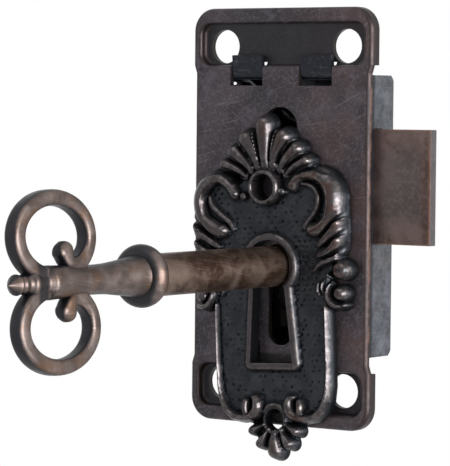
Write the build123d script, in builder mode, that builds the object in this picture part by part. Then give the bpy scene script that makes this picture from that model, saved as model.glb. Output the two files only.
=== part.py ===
"""Cabinet lock with its skeleton key and escutcheon.

Millimetres. X runs to the right seen from outside the door, Y runs from the door's outside into
the cabinet, and Z is up. The origin is the centre of the four screw holes, on the front of the two
recessed pads that they go through. Depths are measured from the plate's mounting face, which lies
before the pads and against the door.
"""

from build123d import *
from math import acos, atan2, cos, hypot, pi, radians, sin, sqrt
import os

os.makedirs("parts", exist_ok=True)

# Mounting plate
plate_height = 61.5
plate_width = 31.6
plate_waist = 30.8
plate_sheet = 0.9
plate_corner = 3.4
plate_edge_round = 0.7
recess_edge_round = 0.5
waist_ramp = 1.2
rim_turn = 1.1
recess_depth = 1.3
rim_side = 1.45
rim_end = 2.2
recess_height = 6.25
recess_corner = 1.8
pad_wall = 0.8
screw_hole = 5.0
screw_spacing_x = 21.5
screw_spacing_z = 50.2

# Rear case
case_sheet = 0.7
case_width = 30.1
case_top = 20.9
case_bottom = -20.0
case_back = 7.9
case_bend = 0.9
corner_relief = 1.35
tab_width = 5.3
tab_spacing = 12.2
tab_reach = 2.9
tab_bend = 0.5
tab_lean = 0.35
tab_clearance = 0.15
slot_slack = 0.25
slot_drop = 0.9

# Bolt
bolt_top = 13.1
bolt_bottom = -3.5
bolt_thickness = 2.1
bolt_front = 2.15
bolt_reach = 24.5
bolt_tail = -4.6
bolt_throw = 9.3
bolt_back_round = 0.7
bolt_slack = 0.1
notch_depth = 1.2
notch_x = 3.0

# Guide stud and its washer
stud_x = -1.5
stud_z = 8.0
stud_neck = 3.0
stud_shoulder = 5.0
stud_tenon = 2.4
stud_slack = 0.1
rivet_slack = 0.02
rivet_head_height = 0.45
rivet_head_spread = 1.3
washer_diameter = 6.0
washer_slack = 0.05

# Key
key_z = -7.2
key_lean = 4.5
barrel_diameter = 6.0
barrel_bore_depth = 9.0
barrel_end_gap = 0.4
tenon_diameter = 3.4
tenon_length = 5.0
drill_pin_diameter = 2.8
drill_pin_slack = 0.08
drill_pin_length = 7.0
bit_thickness = 2.4
bit_radius = 9.0
bit_step_radius = 10.8
bit_start = 1.6
bit_end = 6.4
bit_step_gap = 0.45
talon_slack = 0.4
keyhole_slack = 0.25
keyhole_slot = 3.3
keyhole_reach = 11.7
keyhole_bulb = 4.4
keyhole_bulb_shift = 0.5
pocket_z = 13.1
pocket_diameter = 6.2

# Ward rings
ward_radius = 6.0
ward_wall = 0.6
ward_height_front = 1.1
ward_height_rear = 1.6
ward_gap = 4.8
ward_slack = 0.25

# Key handle: the collar's place is measured from the plate's front face, and each next feature
# from the one before it
collar_along = 33.7
collar_radius = 4.4
collar_bead = 1.45
flare_radius = 2.8
flare_step = 2.0
flare_mid_radius = 2.3
flare_mid_share = 0.48
neck_radius = 2.0
neck_length = 8.7
stem_radius = 2.3
stem_length = 10.1
groove_radius = 1.45
groove_step = 1.9
crossing_radius = 1.8
crossing_step = 1.7
bead_radius = 1.3
bead_step = 2.7
bead_waist = 1.0
tip_step = 1.7
bow_setback = 1.6
bow_half_length = 8.6
bow_half_height = 6.3
bow_centre_height = 6.0
bow_wall = 2.2
bow_thickness = 2.4
bow_edge_round = 0.85
curl_setback = 2.1
curl_height = 4.05
curl_radius = 1.35
curl_neck = 1.7
curl_thickness = 2.0

# Detent spring
spring_width = 2.0
spring_sheet = 0.35
spring_foot_inset = 0.95
spring_foot_length = 6.4
spring_knee = -1.2
spring_nose_half = 1.3
spring_nose_rise = 1.8
spring_tip_length = 2.2
spring_tip_rise = 0.5
spring_nose_gap = 0.1
spring_bend = 0.5
spring_rivet_inset = 2.8
spring_rivet_diameter = 1.3
spring_rivet_head = 2.4
spring_rivet_head_height = 0.4

# Escutcheon, measured from the keyhole's centre
scutcheon_lean = 3.0
scutcheon_shift = -0.35
scutcheon_gap = 0.3
scutcheon_ground = 1.3
rail_height = 0.8
scroll_height = 1.5
ring_height = 1.9
eye_radius = 3.9
eye_rim = 1.1
eye_slot_top = 5.8
eye_slot_bottom = 7.9
eye_slot_start = 3.3
eye_slot_end = 14.2
shoulder_half = 12.4
shoulder_bottom = -2.0
shoulder_corner = 4.5
waist_half = 10.3
waist_end = -7.0
hip_half = 10.2
hip_z = -14.0
foot_half = 10.2
foot_z = -18.5
foot_edge_half = 6.2
body_bottom = -22.8
rail_width = 1.3
scroll_centre_x = 8.45
scroll_centre_z = 9.8
scroll_outer = 4.8
scroll_inner = 2.5
scroll_mouth = 3.4
ball_radius = 1.7
ball_sink = 0.5
ball_step = 0.12
upper_ball_x = 12.4
upper_ball_z = -0.8
lower_ball_x = 11.5
lower_ball_z = -4.5
ring_z = 11.65
ring_outer = 3.0
top_pin_hole = 3.9
crest_reach = 11.0
crest_side_reach = 9.3
crest_turn = 21.0
crest_lobe_width = 3.7
crest_hub = 4.6
relief_step = 0.4
foot_curl_x = 3.4
foot_curl_z = -20.4
foot_curl_radius = 1.55
finial_z = -22.5
finial_reach = 6.3
finial_side_reach = 5.4
finial_turn = 34.0
finial_lobe_width = 2.6
finial_hub = 2.9
bottom_pin_hole = 3.2

# Worked out from the sizes above
plate_half_height = plate_height / 2
recess_width = plate_width - 2 * rim_side
recess_z = plate_half_height - rim_end - recess_height / 2
recess_edge = recess_z - recess_height / 2
pad_back = recess_depth + plate_sheet
case_inner_back = case_back - case_sheet
case_half = case_width / 2
case_height = case_top - case_bottom
case_z = (case_top + case_bottom) / 2
case_ends = ((1, case_top), (-1, case_bottom))
tab_depth = recess_depth - tab_clearance - case_sheet / 2
bolt_back = bolt_front + bolt_thickness
bolt_middle = bolt_front + bolt_thickness / 2
bolt_height = bolt_top - bolt_bottom
bolt_z = (bolt_top + bolt_bottom) / 2
barrel_radius = barrel_diameter / 2
collar_start = collar_along - collar_bead
flare_along = collar_along + flare_step
flare_mid_along = flare_along + flare_mid_share * neck_length
neck_along = flare_along + neck_length
stem_end_along = neck_along + stem_length
groove_along = stem_end_along + groove_step
crossing_along = groove_along + crossing_step
bead_along = crossing_along + bead_step
key_tip_along = bead_along + tip_step
bow_along = stem_end_along - bow_setback
curl_along = bow_along - curl_setback
lean = radians(key_lean)
tilt = radians(scutcheon_lean)
spring_foot_start = case_sheet + spring_foot_inset - case_half
spring_foot_end = spring_foot_start + spring_foot_length
spring_rivet_x = spring_foot_start + spring_rivet_inset
face_y = -recess_depth
key_axis = Axis((0, 0, key_z), (0, -1, 0))
key_side = Plane(origin=(0, face_y, key_z), x_dir=(0, -1, 0), z_dir=(-cos(lean), 0, -sin(lean)))


def facing(depth):
    """Plane square to the door, so far behind the mounting face, looking out of the door."""
    return Plane(origin=(0, face_y + depth, 0), x_dir=(1, 0, 0), z_dir=(0, -1, 0))


def key_facing(depth):
    """The same, centred on the key's axis and turned with the key."""
    return Plane(
        origin=(0, face_y + depth, key_z), x_dir=(cos(lean), 0, sin(lean)), z_dir=(0, -1, 0)
    )


def scutcheon_facing(proud):
    """The same, centred on the escutcheon's keyhole and leaning with it, so far off the plate."""
    return Plane(
        origin=(scutcheon_shift, face_y - proud, key_z),
        x_dir=(cos(tilt), 0, sin(tilt)),
        z_dir=(0, -1, 0),
    )


def side_on(x):
    """Plane seen from the right, whose sketches run in depth and height."""
    return Plane(origin=(x, face_y, 0), x_dir=(0, 1, 0), z_dir=(1, 0, 0))


def level(height):
    """Plane seen from above, whose sketches run in width and depth."""
    return Plane(origin=(0, face_y, height), x_dir=(1, 0, 0), z_dir=(0, 0, 1))


# Mounting plate: a stamping with a straight waist between two wider ends, whose edges turn back
waist_z = recess_edge
with BuildPart() as mounting_plate:
    with BuildSketch(facing(0)):
        RectangleRounded(plate_width, plate_height, plate_corner)
        for side in (-1, 1):
            with BuildLine():
                Polyline(
                    (side * plate_waist / 2, waist_z - waist_ramp),
                    (side * plate_width / 2, waist_z),
                    (side * plate_width, waist_z),
                    (side * plate_width, -waist_z),
                    (side * plate_width / 2, -waist_z),
                    (side * plate_waist / 2, waist_ramp - waist_z),
                    close=True,
                )
            make_face(mode=Mode.SUBTRACT)
    extrude(amount=-plate_sheet)
    with BuildSketch(facing(plate_sheet)):
        RectangleRounded(plate_width, plate_height, plate_corner)
        offset(amount=-plate_sheet, mode=Mode.SUBTRACT)
        Rectangle(2 * plate_width, 2 * waist_z, mode=Mode.SUBTRACT)
    extrude(amount=-rim_turn)
    with BuildSketch(facing(plate_sheet)):
        with Locations((0, recess_z), (0, -recess_z)):
            RectangleRounded(
                recess_width + 2 * pad_wall, recess_height + 2 * pad_wall, recess_corner + pad_wall
            )
    extrude(amount=-recess_depth)
    fillet(mounting_plate.faces().sort_by(Axis.Y)[0].edges(), plate_edge_round)
    with BuildSketch(facing(0)):
        with Locations((0, recess_z), (0, -recess_z)):
            RectangleRounded(recess_width, recess_height, recess_corner)
    extrude(amount=-recess_depth, mode=Mode.SUBTRACT)
    mouths = mounting_plate.faces().sort_by(Axis.Y)[0].inner_wires()
    floors = mounting_plate.faces().filter_by(Axis.Y).filter_by_position(Axis.Y, 0, 0)
    fillet(mouths.edges() + floors.edges(), recess_edge_round)
    with BuildSketch(facing(0)):
        with GridLocations(screw_spacing_x, screw_spacing_z, 2, 2):
            Circle(screw_hole / 2)
        for end, case_edge in case_ends:
            slot_start = case_edge - end * (case_sheet + slot_drop)
            slot_end = end * (recess_edge + recess_edge_round)
            with Locations(
                (tab_spacing / 2, (slot_start + slot_end) / 2),
                (-tab_spacing / 2, (slot_start + slot_end) / 2),
            ):
                Rectangle(tab_width + 2 * slot_slack, abs(slot_end - slot_start))
        with Locations((0, pocket_z)):
            Circle(pocket_diameter / 2)
        with Locations((0, key_z)):
            Circle(barrel_radius + keyhole_slack)
        with Locations((0, key_z - keyhole_reach / 2)):
            Rectangle(keyhole_slot, keyhole_reach - keyhole_bulb)
        with Locations((keyhole_bulb_shift, key_z - keyhole_reach + keyhole_bulb / 2)):
            Circle(keyhole_bulb / 2)
    extrude(amount=-2 * pad_back, mode=Mode.SUBTRACT)
mounting_plate.part.label = "mounting_plate"
export_step(mounting_plate.part, "parts/mounting_plate.step")

# Rear case: one folded sheet, its four tabs passing through the plate and folding into the recesses
with BuildPart() as rear_case:
    with BuildSketch(facing(plate_sheet)):
        with Locations((0, case_z)):
            Rectangle(case_width, case_height)
    extrude(amount=-(case_back - plate_sheet))
    fillet(rear_case.faces().sort_by(Axis.Y)[-1].edges(), case_bend)
    with BuildSketch(facing(plate_sheet)):
        with Locations((0, case_z)):
            Rectangle(case_width - 2 * case_sheet, case_height - 2 * case_sheet)
    extrude(amount=-(case_inner_back - plate_sheet), mode=Mode.SUBTRACT)
    for side in (-1, 1):
        with BuildSketch(side_on(side * (case_half - corner_relief / 2))):
            for end, case_edge in case_ends:
                with BuildLine():
                    Polyline(
                        (case_back + corner_relief, case_edge - 2 * end * corner_relief),
                        (case_back + corner_relief, case_edge + end * corner_relief),
                        (case_back - 2 * corner_relief, case_edge + end * corner_relief),
                        close=True,
                    )
                make_face()
        extrude(amount=corner_relief / 2, both=True, mode=Mode.SUBTRACT)
    with BuildSketch(side_on(case_half - case_sheet / 2)):
        with Locations((bolt_middle, bolt_z)):
            Rectangle(bolt_thickness + 2 * bolt_slack, bolt_height + 2 * bolt_slack)
    extrude(amount=case_sheet, both=True, mode=Mode.SUBTRACT)
    with BuildSketch(facing(case_inner_back)):
        with Locations((0, key_z)):
            Circle(drill_pin_diameter / 2 + rivet_slack)
        with Locations((stud_x, stud_z)):
            Circle(stud_tenon / 2 + rivet_slack)
    extrude(amount=-2 * case_sheet, mode=Mode.SUBTRACT)
    with BuildSketch(level(case_top)):
        with Locations((spring_rivet_x, bolt_middle)):
            Circle(spring_rivet_diameter / 2 + rivet_slack)
    extrude(amount=-2 * case_sheet, mode=Mode.SUBTRACT)
    for side in (-1, 1):
        for end, case_edge in case_ends:
            web_z = case_edge - end * case_sheet / 2
            with BuildSketch(side_on(side * tab_spacing / 2)):
                with BuildLine():
                    FilletPolyline(
                        (plate_sheet + case_sheet, web_z),
                        (tab_depth, web_z),
                        (tab_depth - tab_lean, case_edge + end * tab_reach),
                        radius=tab_bend,
                    )
                trace(line_width=case_sheet)
            extrude(amount=tab_width / 2, both=True)
rear_case.part.label = "rear_case"
export_step(rear_case.part, "parts/rear_case.step")

# Bolt: a flat bar. The arch in its lower edge clears the key's bit all the way round, while bolt
# and key move together at one steady rate, and its walls are as near to the bit as that allows.
talon_height = bolt_bottom - key_z
bit_corner_radius = hypot(bit_radius, bit_thickness / 2)
bit_corner_turn = atan2(bit_thickness / 2, bit_radius)
talon_entry = acos(talon_height / bit_corner_radius)
talon_half = (
    sqrt(bit_corner_radius**2 - talon_height**2)
    - bolt_throw * (talon_entry - bit_corner_turn) / (2 * pi)
    + talon_slack
)
talon_x = bolt_throw * (180 - key_lean) / (360 - key_lean)
with BuildPart() as bolt:
    with BuildSketch(facing(bolt_front)):
        with Locations(((bolt_reach + bolt_tail) / 2, bolt_z)):
            Rectangle(bolt_reach - bolt_tail, bolt_height)
    extrude(amount=-bolt_thickness)
    fillet(bolt.faces().sort_by(Axis.Y)[-1].edges(), bolt_back_round)
    with BuildSketch(facing(bolt_front)):
        with Locations((talon_x, key_z)):
            Circle(bit_corner_radius + talon_slack)
            Rectangle(2 * talon_half, 4 * bit_radius, mode=Mode.INTERSECT)
    extrude(amount=-bolt_thickness, mode=Mode.SUBTRACT)
    with BuildSketch(facing(bolt_front)):
        with Locations((stud_x + bolt_throw / 2, stud_z)):
            SlotCenterToCenter(bolt_throw, stud_neck + 2 * stud_slack)
        for notch_middle in (notch_x, notch_x + bolt_throw):
            with BuildLine():
                Polyline(
                    (notch_middle - 2 * notch_depth, bolt_top + notch_depth),
                    (notch_middle, bolt_top - notch_depth),
                    (notch_middle + 2 * notch_depth, bolt_top + notch_depth),
                    close=True,
                )
            make_face()
    extrude(amount=-bolt_thickness, mode=Mode.SUBTRACT)
bolt.part.label = "bolt"
export_step(bolt.part, "parts/bolt.step")

# Guide stud: shouldered, riveted through the case's back, its neck in the bolt's slot
with BuildPart() as guide_stud:
    with BuildSketch(facing(plate_sheet + washer_slack)):
        with Locations((stud_x, stud_z)):
            Circle(stud_neck / 2)
    extrude(amount=-(bolt_back + bolt_slack - plate_sheet - washer_slack))
    with BuildSketch(facing(bolt_back + bolt_slack)):
        with Locations((stud_x, stud_z)):
            Circle(stud_shoulder / 2)
    extrude(amount=-(case_inner_back - bolt_back - bolt_slack))
    with BuildSketch(facing(case_inner_back)):
        with Locations((stud_x, stud_z)):
            Circle(stud_tenon / 2)
    extrude(amount=-case_sheet)
    with BuildSketch(facing(case_back)):
        with Locations((stud_x, stud_z)):
            Circle(stud_tenon / 2 + rivet_head_spread / 2)
    extrude(amount=-rivet_head_height)
    fillet(guide_stud.faces().sort_by(Axis.Y)[-1].edges(), rivet_head_height / 2)
guide_stud.part.label = "guide_stud"
export_step(guide_stud.part, "parts/guide_stud.step")

# Guide washer: keeps the bolt off the plate
with BuildPart() as guide_washer:
    with BuildSketch(facing(plate_sheet + washer_slack)):
        with Locations((stud_x, stud_z)):
            Circle(washer_diameter / 2)
            Circle(stud_neck / 2 + rivet_slack, mode=Mode.SUBTRACT)
    extrude(amount=-(bolt_front - plate_sheet - 2 * washer_slack))
guide_washer.part.label = "guide_washer"
export_step(guide_washer.part, "parts/guide_washer.step")

# Drill pin: riveted in the case's back, the key's hollow barrel turns on it
with BuildPart() as drill_pin:
    with BuildSketch(facing(case_inner_back - drill_pin_length)):
        with Locations((0, key_z)):
            Circle(drill_pin_diameter / 2)
    extrude(amount=-(drill_pin_length + case_sheet))
    chamfer(drill_pin.faces().sort_by(Axis.Y)[0].edges(), drill_pin_diameter / 6)
    with BuildSketch(facing(case_back)):
        with Locations((0, key_z)):
            Circle(drill_pin_diameter / 2 + rivet_head_spread / 2)
    extrude(amount=-rivet_head_height)
    fillet(drill_pin.faces().sort_by(Axis.Y)[-1].edges(), rivet_head_height / 2)
drill_pin.part.label = "drill_pin"
export_step(drill_pin.part, "parts/drill_pin.step")

# Ward rings: the front one is open over the keyhole's slot
with BuildPart() as front_ward:
    with BuildSketch(facing(plate_sheet)):
        with Locations((0, key_z)):
            Circle(ward_radius + ward_wall / 2)
            Circle(ward_radius - ward_wall / 2, mode=Mode.SUBTRACT)
        with Locations((0, key_z - ward_radius)):
            Rectangle(ward_gap, ward_radius, mode=Mode.SUBTRACT)
    extrude(amount=-ward_height_front)
front_ward.part.label = "front_ward"
export_step(front_ward.part, "parts/front_ward.step")

with BuildPart() as rear_ward:
    with BuildSketch(facing(case_inner_back)):
        with Locations((0, key_z)):
            Circle(ward_radius + ward_wall / 2)
            Circle(ward_radius - ward_wall / 2, mode=Mode.SUBTRACT)
    extrude(amount=ward_height_rear)
rear_ward.part.label = "rear_ward"
export_step(rear_ward.part, "parts/rear_ward.step")

# Detent spring: a bent strip under the case's top wall, its nose in the bolt's first notch
spring_foot_z = case_top - case_sheet - spring_sheet / 2
nose_half_turn = atan2(spring_nose_half, spring_nose_rise)
nose_centre_z = bolt_top - notch_depth + sqrt(2) * (spring_bend + spring_sheet / 2 + spring_nose_gap)
nose_z = nose_centre_z - spring_bend / sin(nose_half_turn)
nose_shoulder_z = nose_z + spring_nose_rise
with BuildPart() as detent_spring:
    with BuildSketch(facing(bolt_middle)):
        with BuildLine():
            FilletPolyline(
                (spring_foot_start, spring_foot_z),
                (spring_foot_end, spring_foot_z),
                (notch_x + spring_knee - spring_nose_half, nose_shoulder_z + spring_tip_rise),
                (notch_x - spring_nose_half, nose_shoulder_z),
                (notch_x, nose_z),
                (notch_x + spring_nose_half, nose_shoulder_z),
                (notch_x + spring_nose_half + spring_tip_length, nose_shoulder_z + spring_tip_rise),
                radius=spring_bend,
            )
        trace(line_width=spring_sheet)
    extrude(amount=spring_width / 2, both=True)
    with BuildSketch(level(case_top)):
        with Locations((spring_rivet_x, bolt_middle)):
            Circle(spring_rivet_diameter / 2 + rivet_slack)
    extrude(amount=-2 * case_sheet, mode=Mode.SUBTRACT)
detent_spring.part.label = "detent_spring"
export_step(detent_spring.part, "parts/detent_spring.step")

# Spring rivet: through the case's top wall and the spring's foot
with BuildPart() as spring_rivet:
    with BuildSketch(level(case_top - case_sheet - spring_sheet)):
        with Locations((spring_rivet_x, bolt_middle)):
            Circle(spring_rivet_diameter / 2)
    extrude(amount=case_sheet + spring_sheet)
    with BuildSketch(
        level(case_top),
        level(case_top - case_sheet - spring_sheet - spring_rivet_head_height),
    ):
        with Locations((spring_rivet_x, bolt_middle)):
            Circle(spring_rivet_head / 2)
    extrude(amount=spring_rivet_head_height)
spring_rivet.part.label = "spring_rivet"
export_step(spring_rivet.part, "parts/spring_rivet.step")

# Key barrel: a tube at the lock's end, solid towards the handle, with a tenon in the handle
with BuildPart() as key_barrel:
    with BuildSketch(key_facing(case_inner_back - barrel_end_gap)):
        Circle(barrel_radius)
    extrude(amount=case_inner_back - barrel_end_gap + collar_start)
    with BuildSketch(key_facing(-collar_start)):
        Circle(tenon_diameter / 2)
    extrude(amount=tenon_length)
    with BuildSketch(key_facing(case_inner_back - barrel_end_gap)):
        Circle(drill_pin_diameter / 2 + drill_pin_slack)
    extrude(amount=barrel_bore_depth, mode=Mode.SUBTRACT)
key_barrel.part.label = "key_barrel"
export_step(key_barrel.part, "parts/key_barrel.step")

# Key bit: deeper behind the bolt, and slotted for the two ward rings
bit_step = bolt_back + bit_step_gap
front_ward_end = plate_sheet + ward_height_front + ward_slack
rear_ward_end = case_inner_back - ward_height_rear - ward_slack
with BuildPart() as key_bit:
    for reach, first, last in (
        (bit_radius, bit_start, bit_end),
        (bit_step_radius, bit_step, bit_end),
    ):
        with BuildSketch(key_facing(first)):
            with Locations((0, -reach / 2)):
                Rectangle(bit_thickness, reach)
            Circle(barrel_radius, mode=Mode.SUBTRACT)
        extrude(amount=-(last - first))
    for first, last in ((bit_start, front_ward_end), (rear_ward_end, bit_end)):
        with BuildSketch(key_facing(first)):
            Circle(ward_radius + ward_wall / 2 + ward_slack)
            Circle(ward_radius - ward_wall / 2 - ward_slack, mode=Mode.SUBTRACT)
        extrude(amount=-(last - first), mode=Mode.SUBTRACT)
key_bit.part.label = "key_bit"
export_step(key_bit.part, "parts/key_bit.step")

# Key handle: two oval rings with inner curls, crossed by a stem that flares into a bead collar
with BuildPart() as bow_ring:
    with BuildSketch(key_side):
        with Locations((bow_along, bow_centre_height)):
            Ellipse(bow_half_length, bow_half_height)
            Ellipse(bow_half_length - bow_wall, bow_half_height - bow_wall, mode=Mode.SUBTRACT)
    extrude(amount=bow_thickness / 2, both=True)
    fillet(bow_ring.edges().filter_by(GeomType.ELLIPSE), bow_edge_round)

with BuildPart() as key_handle:
    add(bow_ring.part)
    mirror(bow_ring.part, about=Plane(origin=(0, 0, key_z), z_dir=(-sin(lean), 0, cos(lean))))
    with BuildSketch(key_side):
        for side in (-1, 1):
            with Locations((curl_along, side * curl_height)):
                Circle(curl_radius)
            with Locations((curl_along, side * curl_height / 2)):
                Rectangle(curl_neck, curl_height)
    extrude(amount=curl_thickness / 2, both=True)
    with BuildSketch(key_side):
        with Locations((collar_along, collar_radius - collar_bead)):
            Circle(collar_bead)
    revolve(axis=key_axis)
    with BuildSketch(key_side):
        with BuildLine():
            Polyline(
                (collar_start, 0),
                (collar_start, collar_radius - collar_bead),
                (flare_along - collar_bead, collar_radius - collar_bead),
                (flare_along, flare_radius),
            )
            Spline(
                (flare_along, flare_radius),
                (flare_mid_along, flare_mid_radius),
                (neck_along, neck_radius),
                (stem_end_along, stem_radius),
            )
            Polyline(
                (stem_end_along, stem_radius),
                (groove_along - groove_radius / 2, groove_radius),
                (groove_along + groove_radius / 2, groove_radius),
                (crossing_along, crossing_radius),
                (bead_along - bead_radius, bead_waist),
                (bead_along - bead_radius / 3, bead_radius),
                (bead_along + bead_radius / 3, bead_radius),
                (key_tip_along, 0),
                (collar_start, 0),
            )
        make_face()
    revolve(axis=key_axis)
    with BuildSketch(key_facing(-collar_start)):
        Circle(tenon_diameter / 2)
    extrude(amount=tenon_length, mode=Mode.SUBTRACT)
key_handle.part.label = "key_handle"
export_step(key_handle.part, "parts/key_handle.step")

# Escutcheon: a thin casting with raised scrolls, crest, finial and keyhole rim
ground_proud = scutcheon_gap + scutcheon_ground
crest_turns = [crest_turn * step for step in (-3, -2, -1, 0, 1, 2, 3)]
finial_turns = [finial_turn * step for step in (-2, -1, 0, 1, 2)]


def eye_outline(grow):
    """Keyhole outline in the sketch: a round eye over a slot that widens downwards, grown evenly."""
    Circle(eye_radius + grow)
    Polygon(
        (-eye_slot_top / 2 - grow, grow - eye_slot_start),
        (eye_slot_top / 2 + grow, grow - eye_slot_start),
        (eye_slot_bottom / 2 + grow, -eye_slot_end - grow),
        (-eye_slot_bottom / 2 - grow, -eye_slot_end - grow),
        align=None,
    )


def lower_body():
    """The escutcheon's lower half in the sketch, drawn in at the hips."""
    Polygon(
        (waist_half, 0),
        (waist_half, waist_end),
        (hip_half, hip_z),
        (foot_half, foot_z),
        (foot_edge_half, body_bottom),
        (-foot_edge_half, body_bottom),
        (-foot_half, foot_z),
        (-hip_half, hip_z),
        (-waist_half, waist_end),
        (-waist_half, 0),
        align=None,
    )


def lobe(centre_z, turn, reach, width):
    """One leaf in the sketch, pointing away from a centre on the middle line."""
    middle_x = -sin(radians(turn)) * reach / 2
    middle_z = centre_z + cos(radians(turn)) * reach / 2
    with Locations(Location((middle_x, middle_z), turn)):
        Ellipse(width / 2, reach / 2)


with BuildPart() as escutcheon:
    with BuildSketch(scutcheon_facing(scutcheon_gap)):
        lower_body()
        with Locations((0, (scroll_centre_z + shoulder_bottom) / 2)):
            RectangleRounded(
                2 * shoulder_half, scroll_centre_z - shoulder_bottom, shoulder_corner
            )
        with Locations((scroll_centre_x, scroll_centre_z), (-scroll_centre_x, scroll_centre_z)):
            Circle(scroll_outer)
        with Locations(
            (upper_ball_x, upper_ball_z),
            (-upper_ball_x, upper_ball_z),
            (lower_ball_x, lower_ball_z),
            (-lower_ball_x, lower_ball_z),
        ):
            Circle(ball_radius)
        with Locations((0, ring_z)):
            Circle(crest_hub)
        with Locations((0, finial_z)):
            Circle(finial_hub)
        for turn in crest_turns:
            lobe(ring_z, turn, crest_side_reach if turn else crest_reach, crest_lobe_width)
        for turn in finial_turns:
            lobe_reach = finial_side_reach if turn else finial_reach
            lobe(finial_z, 180 + turn, lobe_reach, finial_lobe_width)
    extrude(amount=scutcheon_ground)
    with BuildSketch(scutcheon_facing(ground_proud)):
        for turn in crest_turns:
            lobe_reach = crest_side_reach if turn else crest_reach
            lobe(ring_z, turn, lobe_reach - relief_step, crest_lobe_width - 2 * relief_step)
        for turn in finial_turns:
            lobe_reach = finial_side_reach if turn else finial_reach
            lobe(
                finial_z, 180 + turn, lobe_reach - relief_step, finial_lobe_width - relief_step
            )
        with Locations((scroll_centre_x, scroll_centre_z), (-scroll_centre_x, scroll_centre_z)):
            Circle(scroll_outer)
            Circle(scroll_inner, mode=Mode.SUBTRACT)
        with Locations((0, scroll_centre_z - scroll_outer)):
            Rectangle(2 * scroll_centre_x, scroll_mouth * 2, mode=Mode.SUBTRACT)
        with Locations((foot_curl_x, foot_curl_z), (-foot_curl_x, foot_curl_z)):
            Circle(foot_curl_radius)
    extrude(amount=scroll_height)
    with BuildSketch(scutcheon_facing(ground_proud)):
        lower_body()
        offset(amount=-rail_width, mode=Mode.SUBTRACT)
        Rectangle(4 * waist_half, -2 * waist_end, mode=Mode.SUBTRACT)
        eye_outline(eye_rim)
    extrude(amount=rail_height)
    with BuildSketch(scutcheon_facing(ground_proud)):
        with Locations((0, ring_z)):
            Circle(ring_outer)
    extrude(amount=ring_height)
    with Locations(scutcheon_facing(ground_proud - ball_sink)):
        with Locations(
            (upper_ball_x, upper_ball_z),
            (-upper_ball_x, upper_ball_z),
            (lower_ball_x, lower_ball_z),
            (-lower_ball_x, lower_ball_z),
        ):
            Sphere(ball_radius - ball_step, arc_size1=0)
    with BuildSketch(scutcheon_facing(0)):
        eye_outline(0)
        with Locations((0, ring_z)):
            Circle(top_pin_hole / 2)
        with Locations((0, finial_z)):
            Circle(bottom_pin_hole / 2)
    extrude(amount=ground_proud + 2 * scroll_height, mode=Mode.SUBTRACT)
escutcheon.part.label = "escutcheon"
export_step(escutcheon.part, "parts/escutcheon.step")
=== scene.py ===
"""Cabinet lock with its key and cast escutcheon: castings, finishes, light and camera round the frame."""
import math

import bmesh
import bpy
import numpy as np
from mathutils import Matrix, Vector


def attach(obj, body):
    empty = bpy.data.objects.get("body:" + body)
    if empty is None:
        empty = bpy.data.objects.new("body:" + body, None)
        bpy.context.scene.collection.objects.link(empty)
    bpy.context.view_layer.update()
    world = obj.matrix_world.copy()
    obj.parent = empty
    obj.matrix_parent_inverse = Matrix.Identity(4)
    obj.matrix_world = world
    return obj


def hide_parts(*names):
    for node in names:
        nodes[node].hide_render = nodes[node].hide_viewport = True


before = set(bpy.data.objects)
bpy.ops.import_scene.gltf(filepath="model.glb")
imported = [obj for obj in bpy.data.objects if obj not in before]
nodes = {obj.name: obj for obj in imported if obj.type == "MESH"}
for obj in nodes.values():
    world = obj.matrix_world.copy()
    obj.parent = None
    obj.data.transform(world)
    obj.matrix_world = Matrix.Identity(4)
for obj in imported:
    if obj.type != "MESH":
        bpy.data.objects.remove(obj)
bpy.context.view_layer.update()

MM = 0.001
SHARP = math.radians(50)

# The frame's pieces, in millimetres: places that the castings and the finishes follow
KEY_UP = -7.2
PLATE_FACE = -1.3
PLATE_WAIST = 15.4
BOLT_END = 24.5
BOLT_UP = 4.8
BOLT_HALF = 8.3
GUIDE = (-1.5, 8.0)
RIVET = (-10.6, 20.9)

# Top of the painted shade on the plate, in the foot of the escutcheon's keyhole
PAINTED_SHADE_TOP = -19.9

# The escutcheon's place: its keyhole's centre, its lean, its back and the ground's height above it
CENTRE_X = -0.35
LEAN = math.radians(3.0)
BACK_Y = -1.6
GROUND = 1.3

# Sides of the ridges: narrow ones are round, and their power grows as they widen
ROUND_POWER = 0.5
FLATTER = 0.45
NARROW = 0.6
WIDER = 0.9


def along(points, count=28):
    """Smooth path through points: the Catmull-Rom cubic of each four neighbours, sampled evenly."""
    spots = np.asarray(points, float)
    spots = np.vstack([2 * spots[0] - spots[1], spots, 2 * spots[-1] - spots[-2]])
    place = np.linspace(0, len(spots) - 3 - 1e-9, count)
    first = place.astype(int)
    share = (place - first)[:, None]
    before, start, end, after = (spots[first + step] for step in range(4))
    bend = 2 * before - 5 * start + 4 * end - after
    twist = 3 * start - before - 3 * end + after
    return 0.5 * (2 * start + (end - before) * share + bend * share**2 + twist * share**3)


def nearest(u, v, start, end):
    """Nearest spot of a straight stretch to each place: its share along the stretch, and its distance."""
    run = end[:2] - start[:2]
    share = ((u - start[0]) * run[0] + (v - start[1]) * run[1]) / max(run @ run, 1e-12)
    share = np.clip(share, 0, 1)
    return share, np.hypot(u - start[0] - share * run[0], v - start[1] - share * run[1])


def half_width(u, v, start, end, share):
    """Half width of a ridge beside a stretch of its path, whose fifth value, if any, holds on its right."""
    half = start[2] + share * (end[2] - start[2])
    if len(start) > 4:
        run = end[:2] - start[:2]
        on_right = run[0] * (v - start[1]) < run[1] * (u - start[0])
        half = np.where(on_right, start[4] + share * (end[4] - start[4]), half)
    return half


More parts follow.
